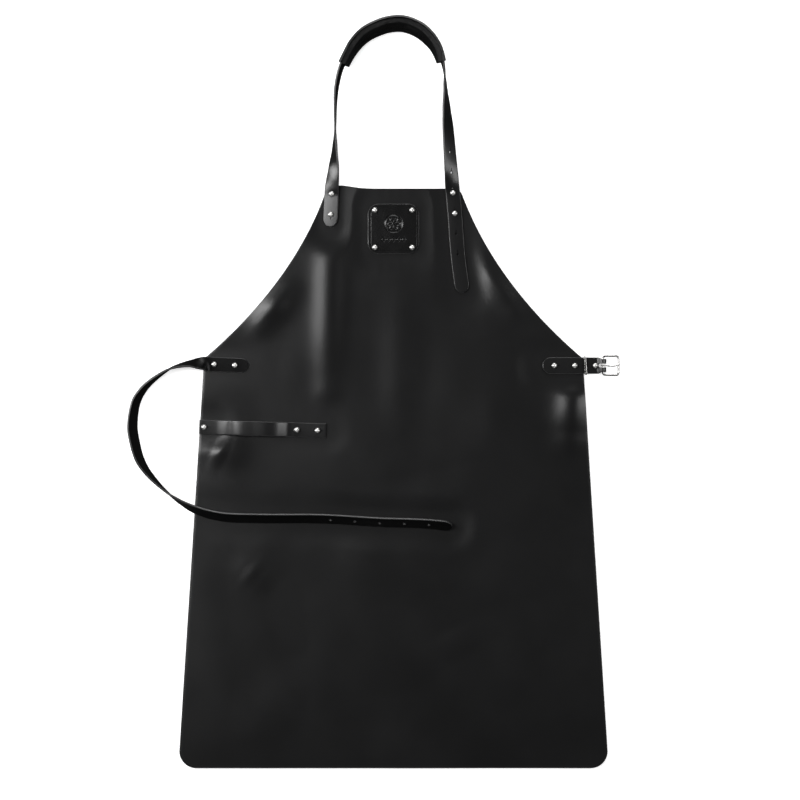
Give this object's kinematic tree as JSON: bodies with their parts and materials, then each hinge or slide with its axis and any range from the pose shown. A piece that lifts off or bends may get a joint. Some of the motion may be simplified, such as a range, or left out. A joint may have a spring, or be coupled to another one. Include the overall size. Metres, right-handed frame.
{
  "type": "leather apron",
  "caption": "Bib apron of thick smooth leather laid flat, with a padded neck strap, waist strap and buckle, towel loop and stud-fixed chest patch.",
  "frame": {"origin": "on the back of the panel, halfway up its centre line", "axes": "+Z out of the grain side, +Y towards the neck, +X towards the buckle side; the apron lies on its back"},
  "size_m": [0.7183, 1.0969, 0.0369],
  "materials": {
    "panel_leather": "smooth black full-grain leather, satin",
    "strap_leather": "black bridle leather with burnished edges, satin gloss",
    "patch_leather": "glossy black leather with a tooled border and plain ornament",
    "pad_leather": "soft black leather, fine grain",
    "pad_lining": "matte black lining leather",
    "pad_foam": "dark foam padding",
    "stud_nickel": "polished nickel plate",
    "buckle_nickel": "polished nickel plate"
  },
  "bodies": {
    "root": {"apron_panel": "panel_leather", "buckle_stud_1": "stud_nickel", "buckle_stud_1_screw": "stud_nickel", "buckle_stud_2": "stud_nickel", "buckle_stud_2_screw": "stud_nickel", "buckle_stud_3": "stud_nickel", "buckle_stud_3_screw": "stud_nickel", "buckle_tab": "strap_leather", "front_patch": "patch_leather", "neck_buckle_side_stud_1": "stud_nickel", "neck_buckle_side_stud_1_screw": "stud_nickel", "neck_buckle_side_stud_2": "stud_nickel", "neck_buckle_side_stud_2_screw": "stud_nickel", "neck_far_side_stud_1": "stud_nickel", "neck_far_side_stud_1_screw": "stud_nickel", "neck_far_side_stud_2": "stud_nickel", "neck_far_side_stud_2_screw": "stud_nickel", "neck_pad_cover": "pad_leather", "neck_pad_foam": "pad_foam", "neck_pad_lining": "pad_lining", "neck_strap": "strap_leather", "patch_stud_1": "stud_nickel", "patch_stud_1_screw": "stud_nickel", "patch_stud_2": "stud_nickel", "patch_stud_2_screw": "stud_nickel", "patch_stud_3": "stud_nickel", "patch_stud_3_screw": "stud_nickel", "patch_stud_4": "stud_nickel", "patch_stud_4_screw": "stud_nickel", "towel_strap": "strap_leather", "towel_stud_1": "stud_nickel", "towel_stud_1_screw": "stud_nickel", "towel_stud_2": "stud_nickel", "towel_stud_2_screw": "stud_nickel", "towel_stud_3": "stud_nickel", "towel_stud_3_screw": "stud_nickel", "waist_strap": "strap_leather", "waist_stud_1": "stud_nickel", "waist_stud_1_screw": "stud_nickel", "waist_stud_2": "stud_nickel", "waist_stud_2_screw": "stud_nickel"},
    "buckle": {"buckle_frame": "buckle_nickel"},
    "prong": {"buckle_prong": "buckle_nickel"},
    "keeper": {"strap_keeper": "buckle_nickel"}
  },
  "joints": [
    {"name": "buckle_turn", "type": "hinge", "parent": "root", "child": "buckle", "pos_m": [0.3055, 0.1645, 0.0048], "axis": [0, -1, 0], "range_deg": [-80, 65]},
    {"name": "prong_turn", "type": "hinge", "parent": "buckle", "child": "prong", "pos_m": [0.3055, 0.1645, 0.0048], "axis": [0, -1, 0], "range_deg": [0, 58]},
    {"name": "keeper_slide", "type": "slide", "parent": "root", "child": "keeper", "axis": [1, 0, 0], "range_m": [-0.001, 0.004]}
  ]
}
